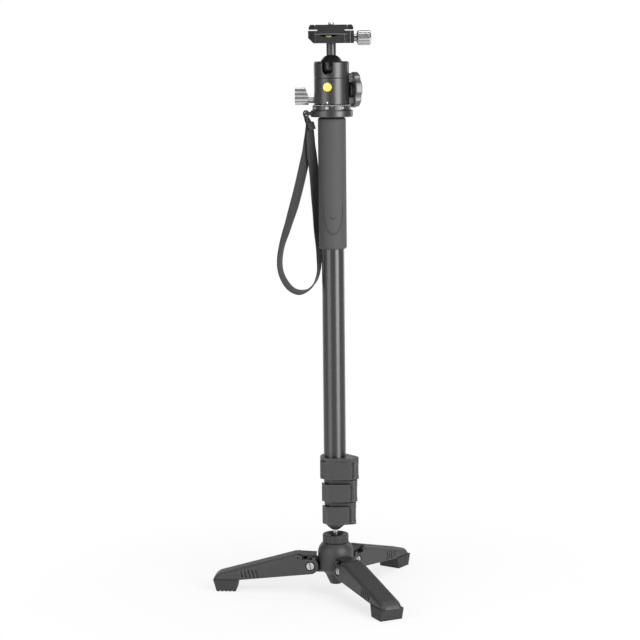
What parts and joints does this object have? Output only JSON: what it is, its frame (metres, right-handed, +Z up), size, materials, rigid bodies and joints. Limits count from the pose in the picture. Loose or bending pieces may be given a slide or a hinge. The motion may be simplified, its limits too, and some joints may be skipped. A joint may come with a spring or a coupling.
{
  "type": "camera monopod",
  "caption": "Telescopic camera monopod with flip locks, a folding three-legged base, a long grip with a wrist strap, and a ball head with a quick-release clamp.",
  "frame": {"origin": "on the column's axis at the floor, under the folding base", "axes": "+Z up along the column, -Y towards the lever fronts and the drop slot, +X towards the clamp knob"},
  "size_m": [0.2377, 0.2637, 0.6649],
  "materials": {
    "base_paint": "satin dark grey powder coat",
    "base_black": "matt moulded nylon",
    "rubber": "matt moulded rubber",
    "grip_rubber": "matt moulded rubber",
    "steel": "turned",
    "black_steel": "black oxide",
    "nylon": "natural nylon",
    "tube_anodised": "satin dark anodised",
    "lock_plastic": "satin moulded nylon",
    "black_anodised": "satin black anodised aluminium",
    "ball_black": "hard black anodised",
    "titanium_anodised": "bead blasted and anodised",
    "silver_anodised": "turned and anodised",
    "gold_anodised": "gold anodised aluminium",
    "level_vial": "clear green",
    "webbing": "woven nylon"
  },
  "bodies": {
    "tripod_base": {"base_hub": "base_paint", "hub_bottom_plug": "base_black", "base_ball_seat": "nylon", "leg_pin_left": "steel", "leg_pin_rear": "steel", "leg_pin_front": "steel"},
    "tension_collar": {"tension_collar": "base_black"},
    "base_ball": {"base_ball": "steel"},
    "base_stud": {"base_stud": "steel"},
    "section_4": {"bottom_fitting": "base_black", "section_4_tube": "tube_anodised", "section_4_guide": "nylon"},
    "section_3": {"section_3_tube": "tube_anodised", "section_3_guide": "nylon", "lock_3_collar": "lock_plastic", "lock_3_pin": "black_steel", "lock_3_bolt": "black_steel"},
    "section_2": {"section_2_tube": "tube_anodised", "section_2_guide": "nylon", "lock_2_collar": "lock_plastic", "lock_2_pin": "black_steel", "lock_2_bolt": "black_steel"},
    "upper": {"upper_tube": "tube_anodised", "lock_1_collar": "lock_plastic", "lock_1_pin": "black_steel", "lock_1_bolt": "black_steel", "grip": "grip_rubber", "tube_top_plug": "nylon", "platform": "black_anodised", "platform_stud": "steel", "pan_base": "black_anodised", "strap_anchor": "webbing", "wrist_strap": "webbing"},
    "lock_3_lever": {"lock_3_lever": "lock_plastic"},
    "lock_2_lever": {"lock_2_lever": "lock_plastic"},
    "lock_1_lever": {"lock_1_lever": "lock_plastic"},
    "head": {"head_housing": "black_anodised", "ball_cup": "nylon", "trim_disc": "gold_anodised"},
    "ball_lock_knob": {"ball_lock_knob": "titanium_anodised"},
    "pan_lock_knob": {"pan_lock_knob": "silver_anodised"},
    "head_ball": {"head_ball": "ball_black"},
    "ball_stem": {"ball_stem": "black_anodised"},
    "clamp": {"clamp_body": "black_anodised", "clamp_bolt": "black_steel", "bubble_level": "level_vial", "clamp_guide_pins": "steel"},
    "clamp_jaw": {"clamp_jaw": "black_anodised"},
    "clamp_knob": {"clamp_knob": "silver_anodised"},
    "quick_plate": {"qr_plate": "black_anodised"},
    "camera_screw": {"camera_screw": "steel"},
    "leg_left": {"leg_left": "base_paint", "foot_left": "rubber"},
    "leg_latch_left": {"leg_latch_left": "base_black"},
    "leg_rear": {"leg_rear": "base_paint", "foot_rear": "rubber"},
    "leg_latch_rear": {"leg_latch_rear": "base_black"},
    "leg_front": {"leg_front": "base_paint", "foot_front": "rubber"},
    "leg_latch_front": {"leg_latch_front": "base_black"}
  },
  "joints": [
    {"name": "leg_left_fold", "type": "hinge", "parent": "tripod_base", "child": "leg_left", "pos_m": [-0.02943, 0.00206, 0.031], "axis": [-0.0698, -0.9976, 0], "range_deg": [0, 80]},
    {"name": "leg_latch_left_lift", "type": "hinge", "parent": "leg_left", "child": "leg_latch_left", "pos_m": [-0.04389, 0.00307, 0.0409], "axis": [-0.0698, -0.9976, 0], "range_deg": [0, 25], "stiffness_Nm_per_rad": 0.02, "springref_deg": -20.05},
    {"name": "leg_rear_fold", "type": "hinge", "parent": "tripod_base", "child": "leg_rear", "pos_m": [0.0165, 0.02446, 0.031], "axis": [-0.829, 0.5592, 0], "range_deg": [0, 80]},
    {"name": "leg_latch_rear_lift", "type": "hinge", "parent": "leg_rear", "child": "leg_latch_rear", "pos_m": [0.0246, 0.03648, 0.0409], "axis": [-0.829, 0.5592, 0], "range_deg": [0, 25], "stiffness_Nm_per_rad": 0.02, "springref_deg": -20.05},
    {"name": "leg_front_fold", "type": "hinge", "parent": "tripod_base", "child": "leg_front", "pos_m": [0.01293, -0.02651, 0.031], "axis": [0.8988, 0.4384, 0], "range_deg": [0, 80]},
    {"name": "leg_latch_front_lift", "type": "hinge", "parent": "leg_front", "child": "leg_latch_front", "pos_m": [0.01929, -0.03955, 0.0409], "axis": [0.8988, 0.4384, 0], "range_deg": [0, 25], "stiffness_Nm_per_rad": 0.02, "springref_deg": -20.05},
    {"name": "tension_collar_turn", "type": "hinge", "parent": "tripod_base", "child": "tension_collar", "pos_m": [0, 0, 0.0634], "axis": [0, 0, 1], "range_deg": [0, 270]},
    {"name": "base_tilt_sideways", "type": "hinge", "parent": "tripod_base", "child": "base_ball", "pos_m": [0, 0, 0.0555], "axis": [0, 1, 0], "range_deg": [-14, 14]},
    {"name": "base_tilt_forwards", "type": "hinge", "parent": "base_ball", "child": "base_stud", "pos_m": [0, 0, 0.0555], "axis": [1, 0, 0], "range_deg": [-14, 14]},
    {"name": "column_spin", "type": "hinge", "parent": "base_stud", "child": "section_4", "pos_m": [0, 0, 0.08], "axis": [0, 0, 1], "continuous": true},
    {"name": "section_3_slide", "type": "slide", "parent": "section_4", "child": "section_3", "axis": [0, 0, 1], "range_m": [0, 0.33]},
    {"name": "section_2_slide", "type": "slide", "parent": "section_3", "child": "section_2", "axis": [0, 0, 1], "range_m": [0, 0.33]},
    {"name": "upper_slide", "type": "slide", "parent": "section_2", "child": "upper", "axis": [0, 0, 1], "range_m": [0, 0.33]},
    {"name": "lock_3_lever_swing", "type": "hinge", "parent": "section_3", "child": "lock_3_lever", "pos_m": [0.0183, -0.0079, 0.093], "axis": [0, 0, 1], "range_deg": [0, 130]},
    {"name": "lock_2_lever_swing", "type": "hinge", "parent": "section_2", "child": "lock_2_lever", "pos_m": [0.0199, -0.00811, 0.12], "axis": [0, 0, 1], "range_deg": [0, 130]},
    {"name": "lock_1_lever_swing", "type": "hinge", "parent": "upper", "child": "lock_1_lever", "pos_m": [0.0217, -0.00905, 0.147], "axis": [0, 0, 1], "range_deg": [0, 130]},
    {"name": "head_pan", "type": "hinge", "parent": "upper", "child": "head", "pos_m": [0, 0, 0.577], "axis": [0, 0, 1], "continuous": true},
    {"name": "ball_lock_turn", "type": "hinge", "parent": "head", "child": "ball_lock_knob", "pos_m": [0, 0, 0.588], "axis": [0.9511, 0.309, 0], "range_deg": [0, 270]},
    {"name": "pan_lock_turn", "type": "hinge", "parent": "head", "child": "pan_lock_knob", "pos_m": [0, 0, 0.5767], "axis": [-0.9945, 0.1045, 0], "range_deg": [0, 90]},
    {"name": "head_tilt_sideways", "type": "hinge", "parent": "head", "child": "head_ball", "pos_m": [0, 0, 0.6148], "axis": [-0.2419, -0.9703, 0], "range_deg": [-27, 27]},
    {"name": "head_tilt_drop", "type": "hinge", "parent": "head_ball", "child": "ball_stem", "pos_m": [0, 0, 0.6148], "axis": [0.9703, -0.2419, 0], "range_deg": [-27, 90]},
    {"name": "clamp_spin", "type": "hinge", "parent": "ball_stem", "child": "clamp", "pos_m": [0, 0, 0.6412], "axis": [0, 0, 1], "continuous": true},
    {"name": "clamp_jaw_slide", "type": "slide", "parent": "clamp", "child": "clamp_jaw", "axis": [1, 0, 0], "range_m": [0, 0.004]},
    {"name": "clamp_knob_turn", "type": "hinge", "parent": "clamp_jaw", "child": "clamp_knob", "pos_m": [0, 0, 0.647], "axis": [1, 0, 0], "range_deg": [0, 720]},
    {"name": "plate_slide", "type": "slide", "parent": "clamp", "child": "quick_plate", "axis": [0, 1, 0], "range_m": [-0.044, 0.044]},
    {"name": "camera_screw_turn", "type": "hinge", "parent": "quick_plate", "child": "camera_screw", "pos_m": [0, 0, 0.662], "axis": [0, 0, 1], "continuous": true}
  ],
  "couplings": [
    {"joint": "clamp_jaw_slide", "follows": "clamp_knob_turn", "m_per_rad": 0.000318}
  ]
}
